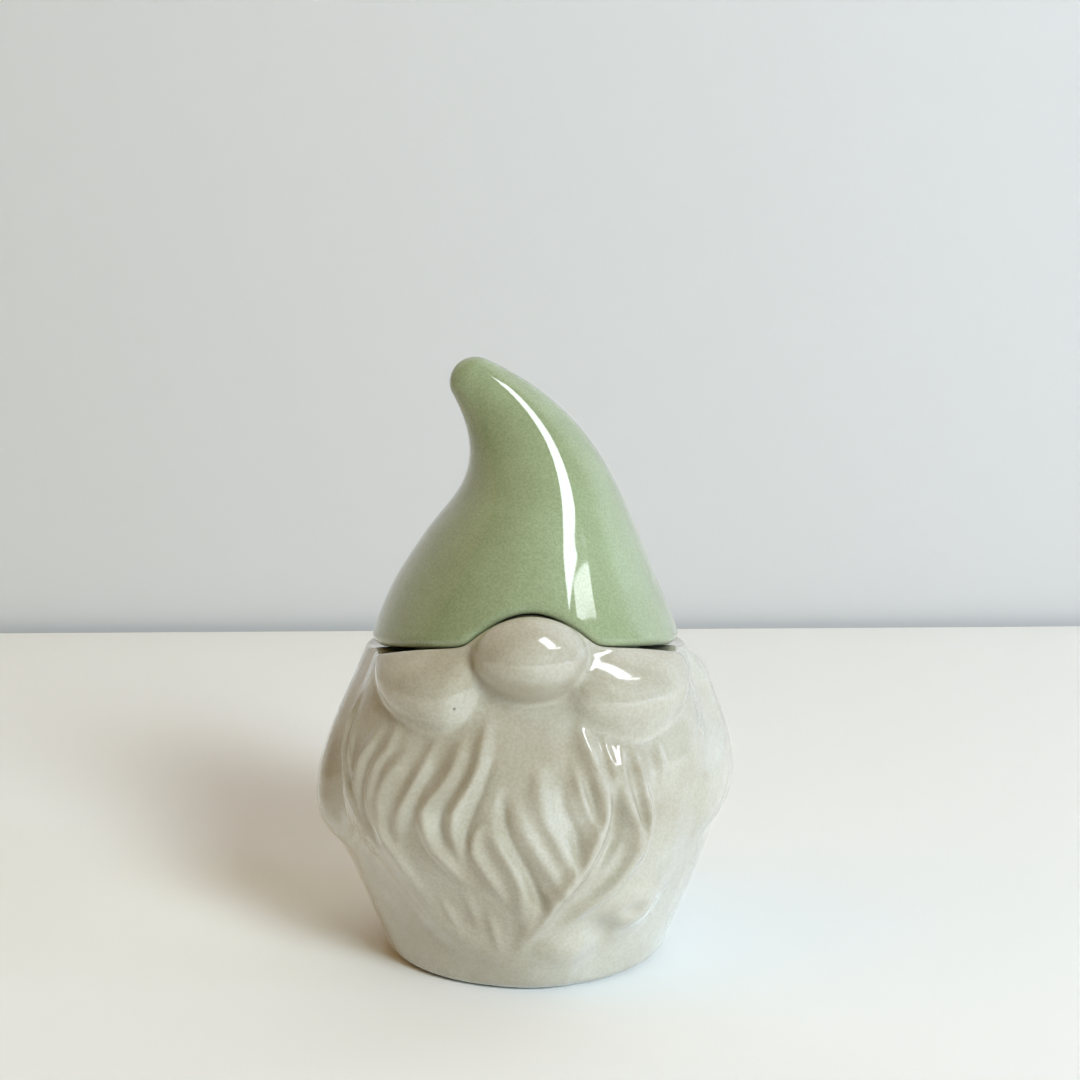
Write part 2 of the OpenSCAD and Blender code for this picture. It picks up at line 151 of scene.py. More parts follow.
# Hat: round sections on a centre line that sways to one side and then leans over to the tip.
# A share runs from 0 at the side rim to 1 at the neck, where the round tip begins.
hatShape = {
    "height": 57, "tipReach": 9.8, "tipR": 5, "tipLean": 44, "tipTaper": 21, "curl": 2.7, "wall": 4.5,
    "brimSwell": 9.6, "brimPower": 2.4, "brimRound": 2.6, "flankSwell": 1.45, "swellPeak": 9.5,
    "sway": 1.4, "swayStart": 0.2, "swayFull": 0.5, "bend": 0.4, "bendEnd": 1.05,
    "collarGap": 0.5, "collarT": 3.5, "collarH": 5, "collarEdge": 0.8,
    "coneShare": 0.2, "crownShare": 0.5,
    # Rings of the mesh, as counts or as the degrees of a round
    "crownTurns": (78, 66, 54, 42, 30, 20, 10, 0), "edgeTurns": (30, 60, 90), "coneRings": 5,
    "collarRings": 6, "seatRings": 6, "brimRings": 13, "flankRings": 48, "upperRings": 60, "tipRings": 16,
}
tipR = hatShape["tipR"]
taper = hatShape["tipTaper"]
neckX = -hatShape["tipReach"] - tipR * sind(taper) * sind(hatShape["tipLean"])
neckZ = rimH + hatShape["height"] - tipR + tipR * sind(taper) * cosd(hatShape["tipLean"])
neckR = tipR * cosd(taper)


def hatLevel(share):  # height of a section's middle
    return rimH + share * (neckZ - rimH)


def hatShare(z):  # the share whose middle is at a height
    return (z - rimH) / (neckZ - rimH)


def hatX(share):  # a small sway to one side, then a power curve of the upper half to the other
    full = hatShape["swayFull"]
    sway = smooth(hatShape["swayStart"], full, share) * (1 - smooth(full, 1, share))
    return hatShape["sway"] * sway + neckX * np.maximum(0, 2 * share - 1) ** hatShape["curl"]


def hatLean(share):  # upright up to the bend, then an S to the lean of the tip
    return hatShape["tipLean"] * smooth(hatShape["bend"], hatShape["bendEnd"], share)


def hatR(share):  # a straight taper, with a swell low on the flank that goes as share times (1 - share)^3
    swell = hatShape["swellPeak"] * hatShape["flankSwell"] * np.maximum(0, share) * (1 - share) ** 3
    return neckR + (rimR - neckR) * (1 - share) + swell


def flankR(angle, share):  # the front of the brim swells out over the face
    front = np.maximum(0, cosd(angle)) ** hatShape["brimPower"]
    return hatR(share) + hatShape["brimSwell"] * front * (1 - share)


def hatPoint(angle, share, r):  # a point of a section, which turns with the lean of the centre line
    lean = hatLean(share)
    x = hatX(share) + r * sind(angle) * cosd(lean)
    z = hatLevel(share) + r * sind(angle) * sind(lean)
    return np.stack(np.broadcast_arrays(x, -r * cosd(angle), z), -1)


def brimZ(angle):  # the hat hovers over the parting by the gap of its seat
    return partZ(angle) + parting["seatGap"]


def seatR(angle):  # where the flat underside of the brim ends and its rounding begins
    return flankR(angle, hatShare(brimZ(angle))) - hatShape["brimRound"]


def tipPoint(angle, turn):  # a ball that touches the taper of the neck
    lean = hatLean(1.0)
    along = tipR * (sind(turn) - sind(taper)) + 0 * angle
    r = tipR * cosd(turn)
    x = neckX - along * sind(lean) + r * sind(angle) * cosd(lean)
    z = neckZ + along * cosd(lean) + r * sind(angle) * sind(lean)
    return np.stack(np.broadcast_arrays(x, -r * cosd(angle), z), -1)


def hatRings():  # one run of rings, from the top of the hollow round the collar and brim and up to the tip
    crown = hatShape["crownShare"]
    cone = hatShape["coneShare"]
    collarR = parting["mouthR"] - hatShape["collarGap"]
    collarIn = collarR - hatShape["collarT"]
    crownR = hatR(crown) - hatShape["wall"] - hatShape["sway"]
    coneR = min(collarIn, hatR(cone) - hatShape["wall"] - hatShape["sway"])
    foot = rimH - hatShape["collarH"]
    edge = hatShape["collarEdge"]
    ones = np.ones_like(angles)
    # Inside, from the round crown down the cone and the collar
    turn = np.array(hatShape["crownTurns"])[:, None]
    rings = [polar(crownR * cosd(turn) * ones, angles, hatLevel(crown) + crownR * sind(turn) * ones)]
    edgeZ = foot + edge
    stops = [(crownR, hatLevel(crown)), (coneR, hatLevel(cone)), (collarIn, rimH), (collarIn, edgeZ)]
    steps = hatShape["coneRings"]
    for (r0, z0), (r1, z1) in zip(stops, stops[1:]):
        r = between(r0 * ones, r1 * ones, steps)
        z = between(z0 * ones, z1 * ones, steps)
        rings.append(polar(r, angles, z))
    # Round the lower edge of the collar and up its outside
    turn = np.array(hatShape["edgeTurns"])[:, None]
    back = turn[::-1]
    innerR = (collarIn + edge - edge * cosd(turn)) * ones
    outerR = (collarR - edge + edge * cosd(back)) * ones
    rings.append(polar(innerR, angles, (edgeZ - edge * sind(turn)) * ones))
    rings.append(polar(outerR, angles, (edgeZ - edge * sind(back)) * ones))
    rings.append(polar((collarR * ones)[None], angles, edgeZ * ones[None]))
    z = between(edgeZ * ones, brimZ(angles), hatShape["collarRings"])
    rings.append(polar(collarR * ones, angles, z))
    # The underside, the rounded brim and the flank
    r = between(collarR * ones, seatR(angles), hatShape["seatRings"])
    rings.append(polar(r, angles, brimZ(angles)))
    brim = hatShape["brimRound"]
    turn = np.linspace(0, 90, hatShape["brimRings"])[1:-1, None]
    share = hatShare(brimZ(angles) + brim * (1 - cosd(turn)))
    rings.append(hatPoint(angles, share, flankR(angles, share) - brim * (1 - sind(turn))))
    bend = hatShape["bend"]
    low = hatShare(brimZ(angles) + brim)
    share = low + (bend - low) * np.linspace(0, 1, hatShape["flankRings"])[:, None]
    rings.append(hatPoint(angles, share, flankR(angles, share)))
    share = np.linspace(bend, 1, hatShape["upperRings"])[1:, None] * ones
    rings.append(hatPoint(angles, share, flankR(angles, share)))
    # The round tip
    turn = np.linspace(taper, 90, hatShape["tipRings"])[1:-1, None]
    rings.append(tipPoint(angles, turn))
    tip = tipPoint(np.zeros(1), np.array([[90.0]]))[0, 0]
    return np.concatenate(rings), (0, 0, hatLevel(crown) + crownR), tip


hat = closedSkin("hatCasting", *hatRings())

# Jar: a coat that swells from the foot and draws in to the shoulders
coat = {
    "footR": 27.5, "footRound": 2, "footFront": 2.5, "frontH": 18,
    "wideR": 38.4, "wideH": 36, "roundShare": 0.75, "drawIn": 1.5, "overRim": 1.05,
    "faceR": 34.5, "faceEnd": (52, 72), "floorT": 6, "floorRound": 6, "edge": 0.5,
    # Rings of the mesh, as counts, as shares of a radius or as the degrees of a round
    "undersideShares": (0.3, 0.7, 0.95), "footRings": 7, "wallRings": 118, "faceRings": 50, "ledgeRings": 8,
    "rimTurns": (20, 40, 60, 75, 90), "seatRings": 4, "mouthTurns": (30, 60, 90), "hollowRings": 10,
    "cornerRings": 8, "floorShares": (0.66, 0.33),
}


def coatR(angle, z):  # a sine and an S mixed, out to the widest ring, then a power curve in to the rim
    low = np.clip(z / coat["wideH"], 0, 1)
    up = np.clip((z - coat["wideH"]) / (rimH - coat["wideH"]), 0, coat["overRim"])
    rise = coat["roundShare"] * sind(90 * low) + (1 - coat["roundShare"]) * smooth(0, 1, low)
    # The foot reaches forward with the square of the cosine, and the rim stays further out at the face
    front = coat["footFront"] * np.maximum(0, cosd(angle)) ** 2 * (1 - smooth(0, coat["frontH"], z))
    rim = coat["faceR"] + (rimR - coat["faceR"]) * smooth(*coat["faceEnd"], np.abs(angle))
    swell = (coat["wideR"] - coat["footR"]) * rise - (coat["wideR"] - rim) * up ** coat["drawIn"]
    return coat["footR"] + front + swell


# Arms: rounded sleeves from the shoulder to the cuff; the left one bends and comes forward
# A point of an arm is (angle, height, half width, thickness).
arms = {
    "right": [(-88, 56, 8.5, 0.41), (-85, 31.5, 10, 4.1)],
    "left": [(88, 52, 8.5, 3.28), (88, 41, 12, 3.53), (62, 35.5, 9, 3.03)],
    "narrow": 1.12, "flatness": 5, "elbowBlend": 0.3, "beardBlend": 1.2, "sink": 0.35,
}


def armHeight(angle, z):  # a flat-topped swelling round the line from shoulder to cuff
    total = 0
    for arm in (arms["right"], arms["left"]):
        for start, end in zip(arm, arm[1:]):
            runX = arcLength(end[0] - start[0], coat["wideR"])
            runZ = end[1] - start[1]
            x = arcLength(angle - start[0], coat["wideR"])
            y = z - start[1]
            along = np.clip((x * runX + y * runZ) / (runX ** 2 + runZ ** 2), 0, 1)
            half = start[2] + (end[2] - start[2]) * along
            thick = start[3] + (end[3] - start[3]) * along
            off = np.hypot(x - along * runX, y - along * runZ) / half
            sleeve = thick / (1 + (arms["narrow"] * off) ** arms["flatness"])
            total = softMax(total, sleeve, arms["elbowBlend"])
    return total


# Beard: its lower edge as (angle, percent of the rim's height), and how far round it reaches
beard = {
    "thick": 3.8, "sideShare": 0.48, "topCut": 0.85, "topFade": (72, 101), "edgeShare": 0.65, "edgeRun": 35,
    "keelT": 1.8, "keelAt": 5, "keelHalf": 20, "keelFade": (60, 90),
    "rightSide": 65, "rightFade": 4,
    "leftSide": [(20, 48), (40, 50), (56, 52), (72, 61), (90, 66)], "leftFade": 14,
    # Percents over which the lower edge fades in, before and after the angles of its turn
    "softEdge": (-15, 12), "crispEdge": (-12, 10), "edgeTurn": (-5, 15),
    "edge": [
        (-78, 49), (-58, 47.5), (-47, 43), (-40, 36), (-34, 27), (-28, 19), (-19, 13), (-6, 8), (3, 6.5),
        (12, 7), (18, 12), (24, 18), (32, 19), (40, 21), (48, 26), (58, 32), (78, 38),
    ],
    # Curls at its end: angle, percent of the rim's height, radius, height and depth of the dimple
    "curls": [(29.5, 27, 4.6, 3, 2), (9.5, 16, 3.8, 1.3, 0), (21, 22, 2.6, -1.4, 0)],
    "curlSoft": 0.9, "dimpleShare": 0.4,
    # Locks: a height for all, the width they keep, their tails, tapers and thin ends, and how sides differ
    "lockT": 1.3, "lockWidth": 0.8, "tail": 7, "taper": 9, "overrun": 2, "thinEnd": 0.6,
    "lockMean": 1.07, "lockSide": 0.25, "lockTurn": 12,
}
# Each lock: height, half width and points as (percent of the rim's height, angle); below zero is a furrow
locks = [
    (1.1, 4.8, [(12, -14), (17, -22), (22, -29), (28, -34), (35, -39), (42, -44), (49, -50), (56, -55)]),
    (1.2, 1.5, [(52, -53), (58, -56), (64, -58), (72, -60), (81, -62), (92, -63)]),
    (0.8, 1, [(64, -54), (70, -56), (78, -57), (86, -57)]),
    (1.1, 1.3, [(56, -51), (64, -52), (71, -51), (77, -48), (85, -44)]),
    (1, 1.3, [(50, -43), (59, -47), (66, -46), (72, -44), (79, -40), (86, -39)]),
    (1, 2, [(36, -34), (43, -38), (51, -42), (60, -43), (66, -41), (72, -38), (79, -33)]),
    (1, 1.3, [(50, -37), (55, -36.2), (62, -33.8), (68, -31), (75, -28), (83, -25.5)]),
    (1.6, 1.7, [(41, -19.5), (45, -22), (50, -25), (56, -27), (60, -27.4), (64, -25.8), (69, -22.6),
                (76, -19.5), (84, -18)]),
    (1.6, 1.6, [(50, -18.8), (55, -19.5), (61, -19.2), (66, -17.2), (71, -14.8), (79, -12.8), (88, -12.3)]),
    (1.2, 1.2, [(36, -8), (40, -10), (45, -12.2), (50, -14.3), (55, -13.8), (61, -10.8)]),
    (1.1, 2.2, [(26, -2), (33, -2.4), (39, -2.6), (44, -4), (50, -6.4), (56, -8.8), (63, -10)]),
    (1.1, 1.9, [(37, 8), (43, 4.8), (48, 2.4), (54, -0.4), (60, -2.6), (66, -4)]),
    (1.2, 2, [(42, 10), (47, 8.4), (54, 5.8), (60, 3.4), (67, 2), (76, 1.4)]),
    (1, 1.3, [(59, 14.2), (65, 12.5), (70, 11.3), (78, 10.5)]),
    (1.7, 2, [(19, -2), (26, 1.5), (33, 5), (38, 8), (43, 10.8), (48, 13.4), (53, 15.2), (58, 16.7),
              (63, 17.8), (68, 17.3), (73, 16), (80, 14.5), (88, 13)]),
    (1.4, 2, [(28, 12), (34, 18), (38, 22), (43, 25), (49, 27.2), (55, 27.2), (61, 25), (68, 23),
              (74, 22.3), (82, 23.5)]),
    (0.9, 0.9, [(70, 20.2), (77, 19.8), (85, 19.4)]),
    (1.1, 1.2, [(46, 29.5), (52, 30), (60, 30.5), (66, 29.3), (73, 28), (80, 27)]),
    (0.9, 1.2, [(70, 36), (80, 35.5)]),
    (0.9, 1.3, [(24, -23), (33, -26)]),
    (0.9, 1.3, [(26, -16), (36, -18)]),
    (0.9, 1.3, [(18, -10), (29, -12)]),
    (-1.3, 1.1, [(24, 0), (32, 3), (37, 1), (45, -2), (52, -5), (60, -7), (69, -7)]),
    (-1.1, 1.4, [(43, 16), (48, 19), (54, 21), (61, 20.7), (69, 19.8)]),
    (-0.9, 1.1, [(44, 10.8), (49, 11.4), (56, 10.2), (64, 7.6), (72, 6.8)]),
    (-0.9, 0.9, [(59, 15.6), (66, 14.5), (75, 12.6)]),
    (-0.9, 0.9, [(53, 28.6), (60, 27.8), (67, 26.3)]),
    (-0.7, 1, [(47, -20.6), (54, -23.2), (60, -23.2), (66, -20.6)]),
    (-0.7, 1, [(50, -16.8), (55, -16.7), (60, -15.5), (67, -13.2), (80, -9.5)]),
    (-0.6, 1.2, [(51, -32.5), (62, -30.2)]),
    (-1.2, 1.3, [(49, -64), (56, -66), (66, -67), (78, -66)]),
]


def lockHeight(angle, z):  # each lock is a bell across its own line, narrow and low at both ends
    p = 100 * z / rimH
    tail = beard["tail"]
    taperRun = beard["taper"]
    total = np.zeros(np.broadcast(angle, z).shape)
    for height, half, points in locks:
        (low, start), (after, turned), high = points[0], points[1], points[-1][0]
        # The line runs on straight past its lower end
        line = [(low - tail, start - tail * (turned - start) / (after - low))] + points
        lean = arcLength(curve(line, p + 1) - curve(line, p - 1), coat["wideR"]) / (2 * rimH / 100)
        upper = 1 - smooth(high - taperRun, high + beard["overrun"], p)
        ends = smooth(low - tail, low + taperRun, p) * upper
        slim = beard["thinEnd"] + (1 - beard["thinEnd"]) * ends
        wide = beard["lockWidth"] * half * slim * np.sqrt(1 + lean ** 2)
        off = arcLength(angle - curve(line, p), coat["wideR"]) / wide
        total += beard["lockT"] * height * ends * np.exp(-off ** 2)
    return total * (beard["lockMean"] + beard["lockSide"] * np.tanh(angle / beard["lockTurn"]))


def hairHeight(angle, z):  # the beard and a keel down its middle, within its own outline, plus the locks
    p = 100 * z / rimH
    side = np.where(angle < 0, beard["rightSide"], curve(beard["leftSide"], p))
    fade = np.where(angle < 0, beard["rightFade"], beard["leftFade"])
    share = 1 - smooth(side - fade, side + fade, np.abs(angle))
    crisp = smooth(*beard["edgeTurn"], angle)
    below, above = (a + (b - a) * crisp for a, b in zip(beard["softEdge"], beard["crispEdge"]))
    inside = p - curve(beard["edge"], angle)
    rise = beard["edgeShare"] + (1 - beard["edgeShare"]) * smooth(0, beard["edgeRun"], inside)
    share = share * smooth(below, above, inside) * rise
    around = beard["sideShare"] + (1 - beard["sideShare"]) * np.maximum(0, cosd(angle))
    body = beard["thick"] * around * (1 - beard["topCut"] * smooth(*beard["topFade"], p))
    bell = np.exp(-((angle - beard["keelAt"]) / beard["keelHalf"]) ** 2)
    keel = beard["keelT"] * bell * (1 - smooth(*beard["keelFade"], p))
    return share * (body + keel) + lockHeight(angle, z)


def curlHeight(angle, z):  # a soft dome for each curl, with a bell cut out of its middle
    total = 0
    for at, percent, radius, height, dimple in beard["curls"]:
        off = np.hypot(arcLength(angle - at, coat["footR"]), z - percent * rimH / 100) / radius
        dome = height * softPos(1 - off ** 2, beard["curlSoft"])
        total = total + dome - dimple * np.exp(-(off / beard["dimpleShare"]) ** 2)
    return total


# Face: two plump lobes of moustache below the rim, and the dome of a nose
face = {
    "lobeBack": 35.5, "lobeT": 8.2, "lobeTop": 65, "lobeCrest": 52, "lobeRound": 14.5, "lobeBlend": 1.9,
    # Each lobe: angles of its middle, inner and outer end, height of its bottom, angles where it gets crisp
    "rightLobe": (24, 11, 57, 50.5, 10, 28), "leftLobe": (28, 6, 61, 48.5, 4, 15),
    "crisp": 0.5, "soft": 1.2, "lobePower": 1.8, "turnShare": 0.9, "backSlope": 2, "skirtSlope": 4,
    "noseW": 20.6, "noseH": 15.6, "noseBack": 35.5, "noseDeep": 8.5,
    "noseZ": 65, "noseSoft": 0.75, "noseBlend": 1.8,
}


def moustacheR(angle, z):  # on each side a cap over a rounded oblong, less a circle's fall above its crest
    a = np.abs(angle)
    sides = zip(face["rightLobe"], face["leftLobe"])
    middle, inner, outer, bottom, softStart, softEnd = (np.where(angle < 0, r, l) for r, l in sides)
    across = np.where(a < middle, (middle - a) / (middle - inner), (a - middle) / (outer - middle))
    down = np.maximum(0, face["lobeTop"] - z) / (face["lobeTop"] - bottom)
    off = (across ** face["lobePower"] + down ** face["lobePower"]) ** (1 / face["lobePower"])
    power = face["soft"] + (face["crisp"] - face["soft"]) * smooth(softStart, softEnd, a)
    above = np.maximum(0, z - face["lobeCrest"])
    turned = np.minimum(above, face["turnShare"] * face["lobeRound"])
    fall = face["lobeRound"] - np.sqrt(face["lobeRound"] ** 2 - turned ** 2)
    fall = fall + face["backSlope"] * (above - turned)
    cap = np.where(off < 1, np.maximum(0, 1 - off ** 2) ** power, face["skirtSlope"] * (1 - off))
    return face["lobeBack"] + face["lobeT"] * cap - fall


def noseR(angle, z):  # a dome that stands on an upright face and runs out softly
    x = face["noseBack"] * sind(angle)
    off = (2 * x / face["noseW"]) ** 2 + (2 * (z - face["noseZ"]) / face["noseH"]) ** 2
    dome = np.where(off < 1, np.maximum(0, 1 - off) ** face["noseSoft"], 1 - off)
    return np.where(cosd(angle) > 0, face["noseBack"] + face["noseDeep"] * dome, 0)


def jarR(angle, z):  # coat, arms, beard and curls added up, with moustache and nose blended over them
    raised = softMax(armHeight(angle, z), hairHeight(angle, z), arms["beardBlend"]) - arms["sink"]
    plain = coatR(angle, z) + raised + curlHeight(angle, z)
    bearded = softMax(plain, moustacheR(angle, z), face["lobeBlend"])
    return softMax(bearded, noseR(angle, z), face["noseBlend"])


edgeSearch = {"below": 1, "halvings": 24}


def edgeHeight(angle):  # the height at which the wall meets the sloping rim, found by halving
    low = ledgeZ(angle) - edgeSearch["below"]
    high = partZ(angle) + face["noseH"] / 2
    for _ in range(edgeSearch["halvings"]):
        z = (low + high) / 2
        above = rimTop(angle, jarR(angle, z)) > z
        low, high = np.where(above, z, low), np.where(above, high, z)
    return (low + high) / 2


# Glaze: rounds of smoothing, how far each eases a ridge and fills a crease, and the rows where it sets in
glaze = {"rounds": 7, "ease": 0.25, "pool": 0.55, "footRows": 6, "rimRows": 14}


def glazed(r):  # each round draws a point towards the mean of its four neighbours, most where glaze pools
    row = np.arange(len(r))[:, None]
    hold = np.clip(row / glaze["footRows"], 0, 1) * np.clip((len(r) - 1 - row) / glaze["rimRows"], 0, 1)
    for _ in range(glaze["rounds"]):
        beside = np.roll(r, 1, 1) + np.roll(r, -1, 1)
        stacked = np.concatenate([r[:1], r[:-1]]) + np.concatenate([r[1:], r[-1:]])
        pull = (beside + stacked) / 4 - r
        r = r + hold * np.where(pull > 0, glaze["pool"], glaze["ease"]) * pull
    return r


def jarRings():  # one run of rings, from the underside up the wall, over the rim and down to the floor
    ones = np.ones_like(angles)
    footRound = coat["footRound"]
    edge = coat["edge"]
    # The flat underside and the rounded foot
    turn = np.linspace(0, 90, coat["footRings"])[:-1, None]
    footZ = footRound * (1 - cosd(turn)) * ones
    footRing = jarR(angles, footZ) - footRound * (1 - sind(turn))
    rings = [polar(footRing[0] * np.array(coat["undersideShares"])[:, None], angles, 0 * ones)]
    rings.append(polar(footRing, angles, footZ))
    # The wall, the sharp edge of the rim and the ledge under the hat
    top = edgeHeight(angles)
    level = face["leftLobe"][3]
    wall = np.linspace(footRound, level, coat["wallRings"])[:, None] * ones
    rise = np.concatenate([wall, between(level * ones, top - edge, coat["faceRings"])])
    rings.append(polar(glazed(jarR(angles, rise)), angles, rise))
    turn = np.array(coat["rimTurns"])[:, None]
    rise = top - edge * (1 - sind(turn))
    rings.append(polar(jarR(angles, rise) - edge * (1 - cosd(turn)), angles, rise))
    lip = jarR(angles, top) - edge
    steps = coat["ledgeRings"]
    rings.append(polar(between(lip, seatR(angles), steps), angles, between(top, ledgeZ(angles), steps)))
    mouth = parting["mouthR"]
    seat = between(seatR(angles), (mouth + edge) * ones, coat["seatRings"])
    rings.append(polar(seat, angles, ledgeZ(angles)))
    turn = np.array(coat["mouthTurns"])[:, None]
    mouthEdge = (mouth + edge - edge * sind(turn)) * ones
    rings.append(polar(mouthEdge, angles, ledgeZ(angles) - edge * (1 - cosd(turn))))
    # The hollow: a straight wall, a rounded corner and the floor
    corner = coat["floorRound"]
    bottom = coat["floorT"]
    rise = between(ledgeZ(angles) - edge, (bottom + corner) * ones, coat["hollowRings"])
    rings.append(polar(mouth * ones, angles, rise))
    turn = np.linspace(0, 90, coat["cornerRings"])[1:, None]
    cornerR = mouth - corner + corner * cosd(turn)
    rings.append(polar(cornerR * ones, angles, (bottom + corner - corner * sind(turn)) * ones))
    floorR = (mouth - corner) * np.array(coat["floorShares"])[:, None]
    rings.append(polar(floorR * ones, angles, bottom * ones))
    return np.concatenate(rings), (0, 0, 0), (0, 0, bottom)


jar = closedSkin("gnomeCasting", *jarRings())

# Which CAD node each casting stands for, the body it moves with and its finish
castings = [(jar, "gnome_jar", "jar", "grey_body"), (hat, "hat_lid", "lid", "sage_hat")]
for piece, node, body, slot in castings:
    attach(piece, body)
    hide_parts(node)


# Finish of both castings: cloudy colour, fine grains in the mix, a few pinholes darkened with painted
# shade, and a slightly wavy gloss

def srgb(r, g, b):  # a colour as it looks on screen, 0 to 255, to the linear value of a socket
    c = np.array([r, g, b]) / 255
    linear = np.where(c <= 0.04045, c / 12.92, ((c + 0.055) / 1.055) ** 2.4)
    return (*linear.tolist(), 1)


castInputs = ("CloudScale", "GrainScale", "PinholeScale", "PinholeShare")
castSet = {
    "cloudDetail": 5, "cloudRough": 0.62, "grainDetail": 2, "pinholeOuter": 0.055, "pinholeInner": 0.025,
    "waveScale": 110, "waveDetail": 1,
}


def castGroup():  # noises for clouds and grains, cells for pinholes, and waves less the pinholes as height
    group = bpy.data.node_groups.new("castMix", "ShaderNodeTree")
    sockets = group.interface
    sockets.new_socket("Place", in_out="INPUT", socket_type="NodeSocketVector")
    for label in castInputs:
        sockets.new_socket(label, in_out="INPUT", socket_type="NodeSocketFloat")
    for label in ("Cloud", "Grain", "Pinhole", "Height"):
        sockets.new_socket(label, in_out="OUTPUT", socket_type="NodeSocketFloat")
    nodes, links = group.nodes, group.links
    start = nodes.new("NodeGroupInput")
    end = nodes.new("NodeGroupOutput")
    cloud = nodes.new("ShaderNodeTexNoise")
    cloud.inputs["Detail"].default_value = castSet["cloudDetail"]
    cloud.inputs["Roughness"].default_value = castSet["cloudRough"]
    links.new(start.outputs["Place"], cloud.inputs["Vector"])
    links.new(start.outputs["CloudScale"], cloud.inputs["Scale"])
    links.new(cloud.outputs["Fac"], end.inputs["Cloud"])
    grain = nodes.new("ShaderNodeTexNoise")
    grain.inputs["Detail"].default_value = castSet["grainDetail"]
    links.new(start.outputs["Place"], grain.inputs["Vector"])
    links.new(start.outputs["GrainScale"], grain.inputs["Scale"])
    links.new(grain.outputs["Fac"], end.inputs["Grain"])
    # Pinholes: round cells of which only a few, picked by the cell's own number, are open
    cells = nodes.new("ShaderNodeTexVoronoi")
    links.new(start.outputs["Place"], cells.inputs["Vector"])
    links.new(start.outputs["PinholeScale"], cells.inputs["Scale"])
    spot = nodes.new("ShaderNodeMapRange")
    spot.interpolation_type = "SMOOTHSTEP"
    spot.inputs["From Min"].default_value = castSet["pinholeOuter"]
    spot.inputs["From Max"].default_value = castSet["pinholeInner"]
    links.new(cells.outputs["Distance"], spot.inputs["Value"])
    split = nodes.new("ShaderNodeSeparateColor")
    links.new(cells.outputs["Color"], split.inputs["Color"])
    picked = nodes.new("ShaderNodeMath")
    picked.operation = "LESS_THAN"
    links.new(split.outputs["Red"], picked.inputs[0])
    links.new(start.outputs["PinholeShare"], picked.inputs[1])
    pinhole = nodes.new("ShaderNodeMath")
    pinhole.operation = "MULTIPLY"
    links.new(spot.outputs["Result"], pinhole.inputs[0])
    links.new(picked.outputs["Value"], pinhole.inputs[1])
    links.new(pinhole.outputs["Value"], end.inputs["Pinhole"])
    # Height: slow waves of the sealer, less the pinholes
    wave = nodes.new("ShaderNodeTexNoise")
    wave.inputs["Scale"].default_value = castSet["waveScale"]
    wave.inputs["Detail"].default_value = castSet["waveDetail"]
    links.new(start.outputs["Place"], wave.inputs["Vector"])
    height = nodes.new("ShaderNodeMath")
    height.operation = "SUBTRACT"
    links.new(wave.outputs["Fac"], height.inputs[0])
    links.new(pinhole.outputs["Value"], height.inputs[1])
    links.new(height.outputs["Value"], end.inputs["Height"])
    return group


castMix = castGroup()
glossSet = {
    "cloudStops": (0.32, 0.5, 0.68), "grainStops": (0.36, 0.64), "roughSpread": 0.3, "bumpDistance": 0.0002,
    "ior": 1.52,
}


